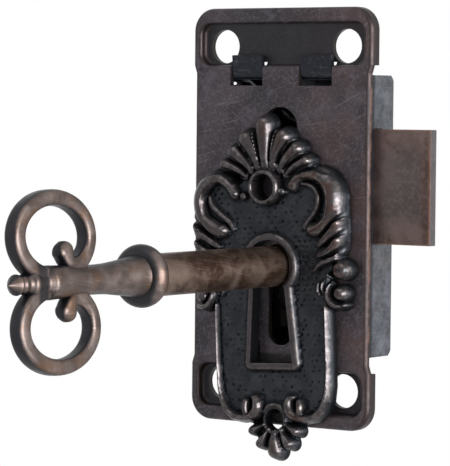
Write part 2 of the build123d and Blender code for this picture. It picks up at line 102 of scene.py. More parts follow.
def ridge(u, v, points):
    """Height of a rounded ridge. points are (u, v, half width, height), or have a fifth value, the half
    width on the right of the path's run. Each place takes the nearest spot of the path, and stands
    height * (1 - (distance / half width)^2)^power high there, nought outside. The power is 0.5 up to a half
    width of 0.6 and grows to 0.95 at 1.5."""
    path = along(points)
    wide = path[:, 2::2].max()
    low, high = path[:, :2].min(0) - wide, path[:, :2].max(0) + wide
    near = (u > low[0]) & (u < high[0]) & (v > low[1]) & (v < high[1])
    x, y = u[near], v[near]
    best = np.zeros_like(x)
    for start, end in zip(path[:-1], path[1:]):
        share, away = nearest(x, y, start, end)
        half = half_width(x, y, start, end, share)
        tall = start[3] + share * (end[3] - start[3])
        power = ROUND_POWER + FLATTER * np.clip((half - NARROW) / WIDER, 0, 1)
        best = np.maximum(best, tall * np.clip(1 - (away / half) ** 2, 0, 1) ** power)
    height = np.zeros_like(u)
    height[near] = best
    return height


def ridge_edge(u, v, points):
    """Distance outside a ridge's outline: the least over its path of the distance less the half width."""
    path = along(points, 14)
    best = np.full_like(u, 1e3)
    for start, end in zip(path[:-1], path[1:]):
        share, away = nearest(u, v, start, end)
        best = np.minimum(best, away - half_width(u, v, start, end, share))
    return best


def polygon_edge(u, v, corners):
    """Signed distance to a polygon: the least distance to its sides, below nought where a ray to one side
    crosses an odd count of them."""
    spots = np.asarray(corners, float)
    best = np.full_like(u, 1e3)
    inside = np.zeros(u.shape, bool)
    for start, end in zip(spots, np.roll(spots, -1, 0)):
        best = np.minimum(best, nearest(u, v, start, end)[1])
        if start[1] != end[1]:
            crossed = (start[1] > v) != (end[1] > v)
            run = end - start
            inside ^= crossed & (u < start[0] + (v - start[1]) * run[0] / run[1])
    return np.where(inside, -best, best)


def mirrored(points):
    """A path's mirror image about the middle line, with the half widths of its two sides exchanged."""
    image = []
    for across, *rest in points:
        if len(rest) > 3:
            up, left, height, right = rest
            rest = up, right, height, left
        image.append((-across, *rest))
    return image


def both_sides(*points):
    """A path and its mirror image."""
    return [list(points), mirrored(points)]


# Ridges of the casting: paths of (across, up, half width, height) from the keyhole's centre and the ground
CREST = [
    [(0, 14.4, 0.85, 0.95), (0, 17.0, 1.35, 1.35), (0, 19.3, 1.7, 1.6), (0, 20.75, 1.7, 1.6)],
    *both_sides((1.25, 14.4, 0.72, 0.85), (1.95, 16.6, 1.1, 1.3), (2.85, 18.1, 1.45, 1.5),
                (3.25, 18.8, 1.6, 1.55)),
    *both_sides((2.4, 14.0, 0.66, 0.8), (3.6, 15.5, 1.0, 1.2), (4.9, 16.6, 1.28, 1.4),
                (5.5, 17.05, 1.38, 1.45)),
    *both_sides((3.5, 13.3, 0.6, 0.75), (5.0, 14.4, 0.85, 1.05), (6.6, 15.1, 1.02, 1.25),
                (7.2, 15.25, 1.08, 1.3)),
]
CREST_LINES = [
    *both_sides((0.95, 14.6, 0.2, 0.9), (1.35, 17.0, 0.24, 1.3), (1.95, 19.6, 0.26, 1.45),
                (2.05, 20.6, 0.2, 1.2)),
    *both_sides((2.0, 14.3, 0.2, 0.8), (2.95, 16.2, 0.24, 1.2), (4.25, 17.8, 0.26, 1.35),
                (4.95, 18.5, 0.2, 1.1)),
    *both_sides((3.1, 13.7, 0.2, 0.7), (4.4, 15.1, 0.24, 1.05), (6.1, 16.1, 0.26, 1.2),
                (6.95, 16.5, 0.2, 1.0)),
    *both_sides((3.9, 12.9, 0.2, 0.6), (5.5, 13.8, 0.24, 0.9), (7.2, 14.3, 0.26, 1.05),
                (8.3, 14.6, 0.2, 0.9)),
]
CREST_BED = [
    [(-6.2, 14.2, 1.5, 0.4), (-3.2, 16.2, 2.3, 0.45), (0, 17.6, 3.2, 0.5), (3.2, 16.2, 2.3, 0.45),
     (6.2, 14.2, 1.5, 0.4)],
]
SCROLL_TURN = [
    (9.1, 12.8, 1.75, 1.6, 0.7), (10.4, 11.9, 2.0, 1.75, 0.65), (11.15, 10.5, 2.15, 1.85, 0.62),
    (11.25, 8.8, 2.1, 1.85, 0.62),
]
RIGHT_SCROLL = [
    (4.9, 11.75, 1.2, 1.45, 1.1), (5.7, 12.7, 1.15, 1.4, 0.9), (7.3, 13.1, 1.4, 1.45, 0.8),
    *SCROLL_TURN,
    (10.9, 7.2, 1.8, 1.7, 0.65), (10.0, 6.1, 1.4, 1.55, 0.9), (8.9, 5.4, 1.3, 1.5, 1.15),
    (7.95, 5.2, 1.2, 1.45, 1.25),
]
LEFT_SCROLL = [
    (-5.6, 10.8, 1.0, 1.35, 1.0), (-6.5, 12.0, 0.8, 1.35, 1.1), (-7.7, 12.8, 0.75, 1.45, 1.4),
    *mirrored(SCROLL_TURN),
    (-10.9, 7.2, 0.95, 1.7, 1.8), (-9.9, 6.0, 1.45, 1.6, 1.45), (-8.8, 5.4, 1.45, 1.55, 1.3),
    (-8.1, 5.4, 1.2, 1.45, 1.2),
]
SCROLLS = [RIGHT_SCROLL, LEFT_SCROLL]
INNER_SCROLLS = [
    [
        (6.2, 12.0, 0.35, 0.7), (7.5, 11.8, 0.42, 0.8), (8.5, 11.2, 0.45, 0.9), (9.05, 10.3, 0.46, 0.95),
        (9.1, 9.4, 0.46, 0.95), (8.7, 8.2, 0.45, 0.9), (8.0, 7.3, 0.45, 0.9), (7.2, 6.4, 0.45, 0.9),
        (6.6, 5.6, 0.5, 0.85),
    ],
    [
        (-10.3, 10.4, 0.4, 0.6), (-9.9, 9.3, 0.55, 0.8), (-9.0, 8.3, 0.55, 0.8), (-7.9, 7.5, 0.5, 0.8),
        (-6.8, 6.6, 0.5, 0.75), (-6.2, 5.6, 0.4, 0.6),
    ],
]
FOLDS = [
    *both_sides((8.9, 3.0, 0.45, 0.8), (10.4, 4.1, 0.85, 1.3), (11.8, 5.2, 1.15, 1.65),
                (12.25, 6.1, 1.15, 1.7)),
    *both_sides((8.8, 1.5, 0.45, 0.7), (10.3, 1.95, 0.75, 1.2), (11.7, 2.7, 1.1, 1.6),
                (12.2, 3.6, 1.1, 1.65)),
    *both_sides((7.9, -0.7, 0.28, 0.6), (8.9, 0.15, 0.45, 0.9), (10.3, 0.75, 0.62, 1.1),
                (11.8, 1.0, 0.75, 1.2)),
]
FLANKS = both_sides(
    (12.1, 8.4, 1.15, 1.1), (12.05, 6.6, 1.35, 1.4), (12.0, 4.6, 1.4, 1.4),
    (11.9, 2.6, 1.2, 1.2), (11.6, 1.4, 0.9, 1.0),
)
LITTLE_LEAVES = [
    *both_sides((10.2, -1.4, 0.3, 0.7), (10.9, -2.2, 0.36, 0.9), (12.3, -2.7, 0.3, 0.8)),
    *both_sides((8.5, -2.6, 0.22, 0.5), (8.35, -3.4, 0.3, 0.65), (8.6, -4.2, 0.22, 0.45)),
    *both_sides((9.2, -2.5, 0.22, 0.5), (9.1, -3.3, 0.28, 0.6), (9.35, -4.0, 0.22, 0.45)),
]
CUPS = both_sides(
    (10.5, -2.7, 0.35, 0.8), (10.15, -3.9, 0.6, 1.15), (10.6, -5.2, 0.75, 1.3),
    (11.7, -5.9, 0.72, 1.25), (12.9, -5.8, 0.5, 1.0),
)
RAILS = both_sides(
    (9.75, -5.6, 0.65, 0.85, 0.32), (9.73, -9.0, 0.68, 0.85, 0.32), (9.7, -14.0, 0.7, 0.9, 0.34),
    (9.55, -17.6, 0.8, 0.95, 0.4), (9.05, -19.7, 0.9, 1.05, 0.5), (8.25, -21.2, 1.0, 1.15, 0.7),
    (7.1, -22.15, 1.0, 1.3, 0.85), (5.6, -22.4, 1.0, 1.4, 0.9), (4.1, -22.2, 1.05, 1.5, 0.95),
    (3.1, -21.4, 1.05, 1.5, 0.95), (2.75, -20.4, 1.0, 1.45, 0.9), (3.0, -19.5, 0.75, 1.25, 0.7),
    (3.6, -19.2, 0.4, 0.9, 0.4),
)
RAIL_KNOBS = both_sides((4.75, -19.9, 0.62, 1.2), (4.85, -20.7, 0.75, 1.4), (4.75, -21.5, 0.7, 1.3))
FINIAL = [
    [(0, -24.1, 0.5, 0.8), (0, -25.5, 1.1, 1.2), (0, -27.1, 1.55, 1.4)],
    *both_sides((1.1, -24.0, 0.45, 0.7), (1.8, -25.1, 0.8, 1.1), (2.4, -26.05, 1.15, 1.3)),
    *both_sides((1.95, -23.3, 0.4, 0.7), (2.9, -23.75, 0.7, 1.0), (3.8, -24.2, 1.0, 1.2)),
]
FINIAL_LINES = [
    *both_sides((0.62, -24.2, 0.2, 0.7), (0.98, -25.6, 0.22, 0.95), (1.3, -26.9, 0.2, 0.9)),
    *both_sides((1.55, -23.7, 0.2, 0.7), (2.5, -24.5, 0.22, 0.9), (3.4, -25.3, 0.2, 0.8)),
]
FINIAL_BED = [[(-3.2, -23.8, 1.3, 0.45), (0, -25.6, 2.2, 0.5), (3.2, -23.8, 1.3, 0.45)]]
SADDLE = [
    [
        (-1.8, -21.4, 0.3, 0.5), (-1.1, -20.6, 0.36, 0.6), (0, -20.3, 0.38, 0.65),
        (1.1, -20.6, 0.36, 0.6), (1.8, -21.4, 0.3, 0.5),
    ],
]
LOBES = CREST + FINIAL + SCROLLS + FOLDS + FLANKS + CUPS
RIDGES = LOBES + CREST_LINES + CREST_BED + INNER_SCROLLS + LITTLE_LEAVES + RAILS + RAIL_KNOBS
RIDGES += FINIAL_LINES + FINIAL_BED + SADDLE

# Grooves between the folds and over the scrolls, as ridges that are taken away
GROOVES = [
    *both_sides((9.4, 4.3, 0.25, 0.4), (11.0, 5.5, 0.34, 0.7), (12.5, 6.8, 0.34, 0.7),
                (13.6, 7.7, 0.25, 0.5)),
    *both_sides((9.1, 2.4, 0.25, 0.4), (10.8, 3.2, 0.34, 0.7), (12.4, 4.3, 0.34, 0.7),
                (13.6, 5.2, 0.25, 0.5)),
    *both_sides((9.2, 0.9, 0.22, 0.3), (10.8, 1.4, 0.3, 0.6), (12.3, 2.1, 0.3, 0.6), (13.3, 2.8, 0.22, 0.4)),
    *both_sides((5.9, 13.4, 0.22, 0.2), (7.4, 14.0, 0.26, 0.45), (9.2, 13.9, 0.26, 0.5),
                (10.9, 13.3, 0.22, 0.3)),
]
GROOVE_FLOOR = 0.25

# Balls and the scrolls' small knobs, (across, up, radius), and how much higher the knobs stand
BALLS = [(12.75, -0.7, 1.7), (-12.5, -0.8, 1.7), (12.4, -4.1, 1.4), (-11.9, -4.2, 1.4)]
KNOBS = [(2.75, 10.9, 0.6), (-4.1, 10.4, 0.6)]
KNOB_LIFT = 0.3

# Openings: the two pin holes with the bosses round them, and the keyhole
RING_UP = 11.65
RING_HOLE = 1.95
RING_BOSS = 4.4
RING_MOULDING = (0.62, 1.7)
LOW_UP = -22.5
LOW_HOLE = 1.6
LOW_BOSS = 2.7
LOW_MOULDING = (0.4, 0.35)
EYE = 3.9
EYE_SLOT = [(-2.7, -3.0), (-3.7, -14.2), (3.8, -14.2), (2.8, -3.0)]
EYE_MOULDING = (0.85, 0.85)

# The flat body between the lobes: its right side from the top down, and its top from the left
BODY_SIDE = [
    (11.4, 10.0), (12.6, 6.0), (12.6, 2.6), (11.5, 0.0), (10.6, -1.5), (10.0, -4.5), (10.35, -6.5),
    (10.33, -13.0), (10.28, -17.6), (9.9, -19.9), (9.0, -21.7), (7.4, -22.9), (5.5, -23.2), (3.0, -22.9),
]
BODY_TOP = [
    (-10.0, 12.6), (-7.5, 13.0), (-5.0, 12.8), (-4.0, 13.6), (4.0, 13.6), (6.0, 13.0), (8.5, 13.3),
    (10.4, 12.2),
]
BODY = BODY_SIDE + mirrored(BODY_SIDE[::-1]) + BODY_TOP
LOBE_MARGIN = 0.12

# Punch marks on the ground: their lattice, how far they stray, their half sizes, and relief that ends them
PUNCH_ACROSS = 1.1
PUNCH_UP = 0.75
PUNCH_STRAY = 0.3
PUNCH_LONG = 0.25
PUNCH_HIGH = 0.16
PUNCH_DEPTH = 0.3
PUNCH_END = 0.12
PUNCH_SEEDS = 64

# The rounded outer edge: how far in it reaches and how far it drops
EDGE_REACH = 0.75
EDGE_DROP = 1.1

# Worn and raised metal for the finish: the mean's reach in cells, full heights and the dark ring's limits
WORN_REACH = 4
WORN_FULL = 0.16
RAISED_FULL = 1.6
RING_DARK = 3.2
RING_RAISED = 0.68

# The casting's grid: left, right, bottom, top and the step between points
GRID = (-14.8, 14.8, -29.2, 23.2)
GRID_STEP = 0.14


def eye_edge(u, v):
    """Signed distance to the keyhole opening: a round eye joined to a slot that widens downwards."""
    return np.minimum(np.hypot(u, v) - EYE, polygon_edge(u, v, EYE_SLOT))


def outer_edge(u, v):
    """Signed distance to the casting's outer contour, below nought inside: the union of the body, the bosses
    round the pin holes, the lobes and the balls."""
    edge = polygon_edge(u, v, BODY)
    edge = np.minimum(edge, np.hypot(u, v - RING_UP) - RING_BOSS)
    edge = np.minimum(edge, np.hypot(u, v - LOW_UP) - LOW_BOSS)
    for path in LOBES:
        edge = np.minimum(edge, ridge_edge(u, v, path) - LOBE_MARGIN)
    for across, up, radius in BALLS:
        edge = np.minimum(edge, np.hypot(u - across, v - up) - radius)
    return edge


def outline(u, v):
    """Signed distance to the metal's edge: the outer contour less the keyhole and the two pin holes."""
    edge = np.maximum(outer_edge(u, v), -eye_edge(u, v))
    edge = np.maximum(edge, RING_HOLE - np.hypot(u, v - RING_UP))
    return np.maximum(edge, LOW_HOLE - np.hypot(u, v - LOW_UP))


def rim(distance, half, height):
    """Round moulding beside an edge: height * (1 - (distance / half - 0.4)^2)^(1/2), nought beyond it."""
    return height * np.sqrt(np.clip(1 - ((distance - 0.4 * half) / half) ** 2, 0, 1))


def punched(u, v):
    """Depth of rows of small flat punch marks, as a share of the deepest. Each cell of a lattice, whose odd
    rows are moved by half a cell, has a dent of depth * exp(-(across / half length)^2 - (up / half
    height)^2), with its place and its depth drawn at random from one seed."""
    rng = np.random.default_rng(11)
    shift = rng.uniform(-PUNCH_STRAY, PUNCH_STRAY, (PUNCH_SEEDS, PUNCH_SEEDS, 2))
    deep = rng.uniform(-0.1, 1.0, (PUNCH_SEEDS, PUNCH_SEEDS))
    row = np.floor(v / PUNCH_UP).astype(int)
    place = u / PUNCH_ACROSS + 0.5 * (row % 2)
    column = np.floor(place).astype(int)
    cell = (row % PUNCH_SEEDS, column % PUNCH_SEEDS)
    across = (place - column - 0.5 - shift[cell][..., 0]) * PUNCH_ACROSS
    up = v - (row + 0.5) * PUNCH_UP - shift[cell][..., 1] * 0.6 * PUNCH_UP
    return deep[cell] * np.exp(-((across / PUNCH_LONG) ** 2) - (up / PUNCH_HIGH) ** 2)


def relief(u, v):
    """Height above the back: the ground plus the highest of all ridges, balls, knobs and mouldings there,
    with grooves cut into them and punch marks on the bare ground. The balls and knobs are domes of
    (radius^2 - distance^2)^(1/2). Near the outer edge the casting drops by the edge's drop *
    (1 - distance from the edge / reach)^1.5."""
    top = np.zeros_like(u)
    for path in RIDGES:
        top = np.maximum(top, ridge(u, v, path))
    for group, lift in ((BALLS, 0.0), (KNOBS, KNOB_LIFT)):
        for across, up, radius in group:
            dome = radius**2 - (u - across) ** 2 - (v - up) ** 2
            top = np.maximum(top, np.sqrt(np.clip(dome, 0, None)) + lift * (dome > 0))
    top = np.maximum(top, rim(eye_edge(u, v), *EYE_MOULDING))
    top = np.maximum(top, rim(np.hypot(u, v - RING_UP) - RING_HOLE, *RING_MOULDING))
    top = np.maximum(top, rim(np.hypot(u, v - LOW_UP) - LOW_HOLE, *LOW_MOULDING))
    for path in GROOVES:
        top = np.maximum(top - ridge(u, v, path), np.minimum(top, GROOVE_FLOOR))
    bare = np.clip(1 - top / PUNCH_END, 0, 1)
    inside = np.clip(-outer_edge(u, v) / EDGE_REACH, 0, 1)
    return GROUND + top - PUNCH_DEPTH * bare * punched(u, v) - EDGE_DROP * (1 - inside) ** 1.5


def blurred(field, reach):
    """Mean of a field over a square of the given reach in cells, from its running sums."""
    total = np.pad(field, reach + 1, mode="edge").cumsum(0).cumsum(1)
    size = 2 * reach + 1
    sums = total[size:, size:] - total[:-size, size:] - total[size:, :-size] + total[:-size, :-size]
    return sums[: field.shape[0], : field.shape[1]] / size**2


def make_mesh(name, points, faces):
    """Mesh of flat arrays of points, in metres, and of triangles or quads."""
    mesh = bpy.data.meshes.new(name)
    mesh.vertices.add(len(points))
    mesh.vertices.foreach_set("co", np.asarray(points, np.float32).ravel())
    mesh.loops.add(faces.size)
    mesh.loops.foreach_set("vertex_index", faces.astype(np.int32).ravel())
    mesh.polygons.add(len(faces))
    mesh.polygons.foreach_set("loop_start", np.arange(len(faces), dtype=np.int32) * faces.shape[1])
    mesh.update(calc_edges=True)
    mesh.validate()
    return mesh


def outward(mesh):
    """Merges the doubles of a closed mesh, drops slivers and turns every face outwards, by the sign of the
    volume that they enclose."""
    work = bmesh.new()
    work.from_mesh(mesh)
    bmesh.ops.remove_doubles(work, verts=work.verts, dist=1e-7)
    bmesh.ops.dissolve_degenerate(work, edges=work.edges, dist=1e-7)
    bmesh.ops.recalc_face_normals(work, faces=work.faces)
    if work.calc_volume(signed=True) < 0:
        bmesh.ops.reverse_faces(work, faces=work.faces)
    work.to_mesh(mesh)
    work.free()
    return mesh


def casting_grid():
    """Grid of the leaning plane, its cells that lie on metal and the points that these use. The outermost
    points are moved onto the outline by Newton's steps along its slope."""
    left, right, bottom, top = GRID
    u, v = np.meshgrid(np.arange(left, right, GRID_STEP), np.arange(bottom, top, GRID_STEP))
    inner = outline(u, v) < -0.25 * GRID_STEP
    cells = inner[:-1, :-1] | inner[1:, :-1] | inner[:-1, 1:] | inner[1:, 1:]
    used = np.zeros(u.shape, bool)
    for corner in (used[:-1, :-1], used[:-1, 1:], used[1:, :-1], used[1:, 1:]):
        corner |= cells
    loose = used & ~inner
    x, y = u[loose], v[loose]
    nudge = 0.01
    for _ in range(4):
        here = outline(x, y)
        slope_x = (outline(x + nudge, y) - outline(x - nudge, y)) / (2 * nudge)
        slope_y = (outline(x, y + nudge) - outline(x, y - nudge)) / (2 * nudge)
        steep = np.maximum(slope_x**2 + slope_y**2, 0.25)
        x, y = x - here * slope_x / steep, y - here * slope_y / steep
    u[loose], v[loose] = x, y
    return u, v, cells, used


def shell_faces(cells, used):
    """Triangles of a closed shell: two for each cell of the front, two for each side of its rims, and a
    back that repeats the front."""
    number = -np.ones(used.shape, int)
    number[used] = np.arange(used.sum())
    a, b = number[:-1, :-1][cells], number[:-1, 1:][cells]
    c, d = number[1:, 1:][cells], number[1:, :-1][cells]
    front = np.vstack([np.stack([a, b, c], 1), np.stack([a, c, d], 1)])
    sides = np.vstack([front[:, [0, 1]], front[:, [1, 2]], front[:, [2, 0]]])
    forward = sides[:, 0] * used.size + sides[:, 1]
    backward = sides[:, 1] * used.size + sides[:, 0]
    start, end = sides[~np.isin(forward, backward)].T
    count = used.sum()
    wall = [np.stack([end, start, start + count], 1), np.stack([end, start + count, end + count], 1)]
    return np.vstack([front, *wall, front[:, ::-1] + count])


def cast_escutcheon():
    """The escutcheon as a height field: each point of its grid stands as high as the relief, with straight
    walls down to a flat back. Its points carry two values from 0 to 1 for the finish: worn, how far a place
    stands above the mean round it, and raised, how far above the ground, held low at the dark ring."""
    u, v, cells, used = casting_grid()
    proud = relief(u, v)
    worn = np.clip((proud - blurred(proud, WORN_REACH)) / WORN_FULL, -1, 1) * 0.5 + 0.5
    raised = np.clip((proud - GROUND) / RAISED_FULL, 0, 1)
    at_ring = np.hypot(u, v - RING_UP) < RING_DARK
    raised = np.where(at_ring, np.minimum(raised, RING_RAISED), raised)

    count = used.sum()
    across, up = np.tile(u[used], 2), np.tile(v[used], 2)
    places = [
        CENTRE_X + across * math.cos(LEAN) - up * math.sin(LEAN),
        BACK_Y - np.concatenate([proud[used], np.zeros(count)]),
        KEY_UP + across * math.sin(LEAN) + up * math.cos(LEAN),
    ]
    mesh = make_mesh("escutcheon_casting", np.stack(places, 1) * MM, shell_faces(cells, used))
    for name, field, behind in (("worn", worn, 0.5), ("raised", raised, 0.0)):
        values = np.concatenate([field[used], np.full(count, behind)])
        mesh.attributes.new(name, "FLOAT", "POINT").data.foreach_set("value", values.astype(np.float32))
    return outward(mesh)


# The key's handle: distances before the plate's face, and heights and radii from the key's axis
KEY_LEAN = math.radians(4.5)
COLLAR_OUT = 33.7
COLLAR_RADIUS = 2.95
COLLAR_BEAD = 1.45
BORE_OUT = 37.25
BORE_RADIUS = 1.7
TIP_OUT = 62.5
STEM = [
    (35.7, 2.8), (37.5, 2.58), (39.9, 2.32), (42.0, 2.12), (44.4, 2.03), (47.0, 2.05), (50.0, 2.15),
    (53.0, 2.26), (54.2, 2.31), (54.7, 2.24), (55.05, 1.9), (55.5, 1.52), (56.5, 1.42), (57.3, 1.55),
    (57.8, 1.8), (58.3, 1.78), (58.7, 1.38), (59.1, 1.18), (59.7, 1.3), (60.2, 1.12), (60.5, 1.16),
    (60.75, 1.4), (61.05, 1.26), (61.75, 0.62), (62.35, 0.12),
]

# One ring of the bow: its centre, the half lengths of its middle line, and its section
BOW_OUT = 52.9
BOW_RISE = 6.0
BOW_LONG = 7.5
BOW_HIGH = 5.2
BOW_HALF = 1.1
BOW_SWELL = 0.08
BOW_DEEP = 1.2

# One inner curl: (distance, height, half width, half depth) along its middle line
CURL = [
    (45.7, 5.1, 0.6, 1.0), (46.9, 3.6, 0.7, 1.05), (48.3, 2.6, 0.85, 1.1), (49.9, 2.6, 0.95, 1.15),
    (50.7, 4.0, 1.4, 1.15),
]


def grid_faces(rows, columns, ring=False):
    """Triangles of a grid of points whose columns close into a circle, as its rows do for a ring."""
    row = np.arange(rows if ring else rows - 1)[:, None]
    column = np.arange(columns)[None, :]
    beside = (column + 1) % columns
    below = (row + 1) % rows
    a, b = row * columns + column, row * columns + beside
    d, c = below * columns + column, below * columns + beside
    halves = [(a, b, c), (a, c, d)]
    return np.vstack([np.stack([corner.ravel() for corner in half], 1) for half in halves])


def by_key(out, up, across):
    """Points so far before the plate's face, up from the key's axis and across, in its leaning plane."""
    places = [
        -math.sin(KEY_LEAN) * up - math.cos(KEY_LEAN) * across,
        PLATE_FACE - out,
        KEY_UP + math.cos(KEY_LEAN) * up - math.sin(KEY_LEAN) * across,
    ]
    return np.stack(places, -1).reshape(-1, 3)


def section(count, power):
    """Rounded square round a middle: the signed powers 2 / power of cosine and sine."""
    turn = np.linspace(0, 2 * np.pi, count, endpoint=False)
    cosine, sine = np.cos(turn), np.sin(turn)
    return np.sign(cosine) * np.abs(cosine) ** (2 / power), np.sign(sine) * np.abs(sine) ** (2 / power)


def turned_stem(around=72):
    """The stem: a profile of distances and radii carried round the key's axis, from the bottom of the bore
    over the collar's half circle and the smooth stem to the tip."""
    bend = np.linspace(0.02, np.pi - 0.02, 26)
    collar = [COLLAR_OUT - COLLAR_BEAD * np.cos(bend), COLLAR_RADIUS + COLLAR_BEAD * np.sin(bend)]
    bore = [(BORE_OUT, 0), (BORE_OUT, BORE_RADIUS), (COLLAR_OUT - COLLAR_BEAD, BORE_RADIUS)]
    profile = np.vstack([bore, np.stack(collar, 1), along(STEM, 150), [(TIP_OUT, 0)]])
    turn = np.linspace(0, 2 * np.pi, around, endpoint=False)[None, :]
    out = np.repeat(profile[:, :1], around, 1)
    points = by_key(out, profile[:, 1:] * np.cos(turn), profile[:, 1:] * np.sin(turn))
    return points, grid_faces(len(profile), around)


def bow_ring(side, steps=120, around=28):
    """One oval ring: a rounded square section carried round an ellipse along its normal. Its half width
    grows towards the key's end by the swell times the cosine of the turn."""
    turn = np.linspace(0, 2 * np.pi, steps, endpoint=False)[:, None]
    wide, deep = section(around, 3.4)
    normal_out, normal_up = np.cos(turn) * BOW_HIGH, np.sin(turn) * BOW_LONG
    size = np.hypot(normal_out, normal_up)
    half = BOW_HALF + BOW_SWELL * np.cos(turn)
    out = BOW_OUT + BOW_LONG * np.cos(turn) + half * wide * normal_out / size
    up = BOW_RISE + BOW_HIGH * np.sin(turn) + half * wide * normal_up / size
    return by_key(out, side * up, BOW_DEEP * deep + 0 * up), grid_faces(steps, around, ring=True)


def rounded_end(spot, way):
    """Sections that close a path beyond its end spot: through a quarter turn they move on along way by the
    half width times the sine, and shrink with the cosine."""
    bend = np.linspace(0, np.pi / 2, 9)[1:, None]
    return np.hstack([spot[:2] + way * spot[2] * np.sin(bend), spot[2:] * np.cos(bend)])


def bow_curl(side, around=24):
    """One inner curl: an oval section carried along a smooth path from the ring past the stem to its knob,
    both ends rounded by a quarter circle."""
    path = along(CURL, 44)
    run = np.gradient(path[:, :2], axis=0)
    run /= np.hypot(run[:, 0], run[:, 1])[:, None]
    head, tail = rounded_end(path[0], -run[0]), rounded_end(path[-1], run[-1])
    whole = np.vstack([head[::-1], path, tail])
    ways = np.vstack([np.repeat(run[:1], len(head), 0), run, np.repeat(run[-1:], len(tail), 0)])
    wide, deep = section(around, 3.6)
    out = whole[:, :1] - ways[:, 1:] * whole[:, 2:3] * wide
    up = whole[:, 1:2] + ways[:, :1] * whole[:, 2:3] * wide
    return by_key(out, side * up, whole[:, 3:4] * deep), grid_faces(len(whole), around)


def cast_handle():
    """The key's handle: stem, two rings and two curls, each closed, in one mesh."""
    shells = [turned_stem()] + [make(side) for make in (bow_ring, bow_curl) for side in (1, -1)]
    points, faces, count = [], [], 0
    for spots, triangles in shells:
        points.append(spots)
        faces.append(triangles + count)
        count += len(spots)
    return outward(make_mesh("key_handle_casting", np.vstack(points) * MM, np.vstack(faces)))


